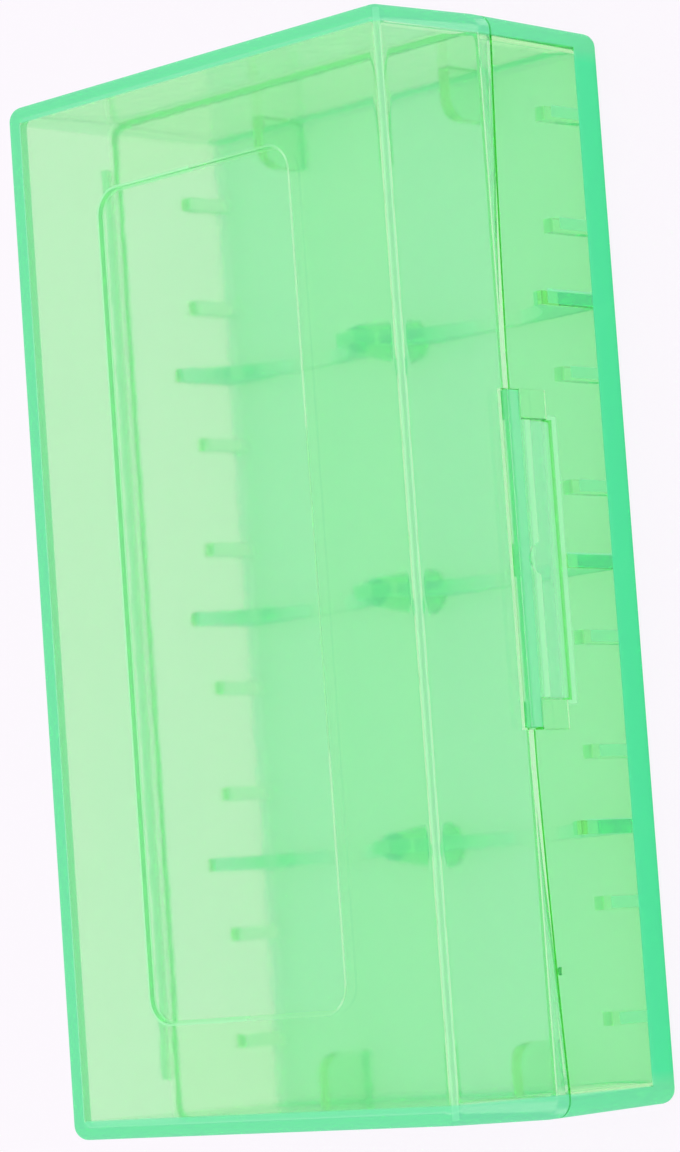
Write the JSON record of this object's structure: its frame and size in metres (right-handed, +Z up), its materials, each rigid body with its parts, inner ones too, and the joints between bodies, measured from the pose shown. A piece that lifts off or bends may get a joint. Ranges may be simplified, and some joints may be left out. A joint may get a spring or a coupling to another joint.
{
  "type": "battery storage box",
  "caption": "Translucent clamshell box with a hinged lid and a snap flap, ribbed inside to hold long round cells in lanes or short ones in bays.",
  "frame": {"origin": "centre of the tray's flat underside, on the surface that the closed box lies on", "axes": "+X along the box's length, +Y towards the hinge, so that the latch faces -Y, and +Z up to the lid"},
  "size_m": [0.079, 0.0426, 0.0231],
  "materials": {
    "tray_plastic": "glossy translucent green polypropylene",
    "lid_plastic": "glossy translucent green polypropylene",
    "hinge_plastic": "flexed translucent green polypropylene",
    "flap_plastic": "glossy translucent green polypropylene"
  },
  "bodies": {
    "tray": {"base_tray": "tray_plastic", "living_hinge": "hinge_plastic"},
    "lid": {"lid": "lid_plastic"},
    "flap": {"latch_flap": "flap_plastic"}
  },
  "joints": [
    {"name": "lid_hinge", "type": "hinge", "parent": "tray", "child": "lid", "pos_m": [0, 0.0212, 0.01215], "axis": [-1, 0, 0], "range_deg": [0, 180]},
    {"name": "flap_flex", "type": "hinge", "parent": "lid", "child": "flap", "pos_m": [0, -0.0206, 0.0135], "axis": [-1, 0, 0], "range_deg": [0, 70]}
  ]
}
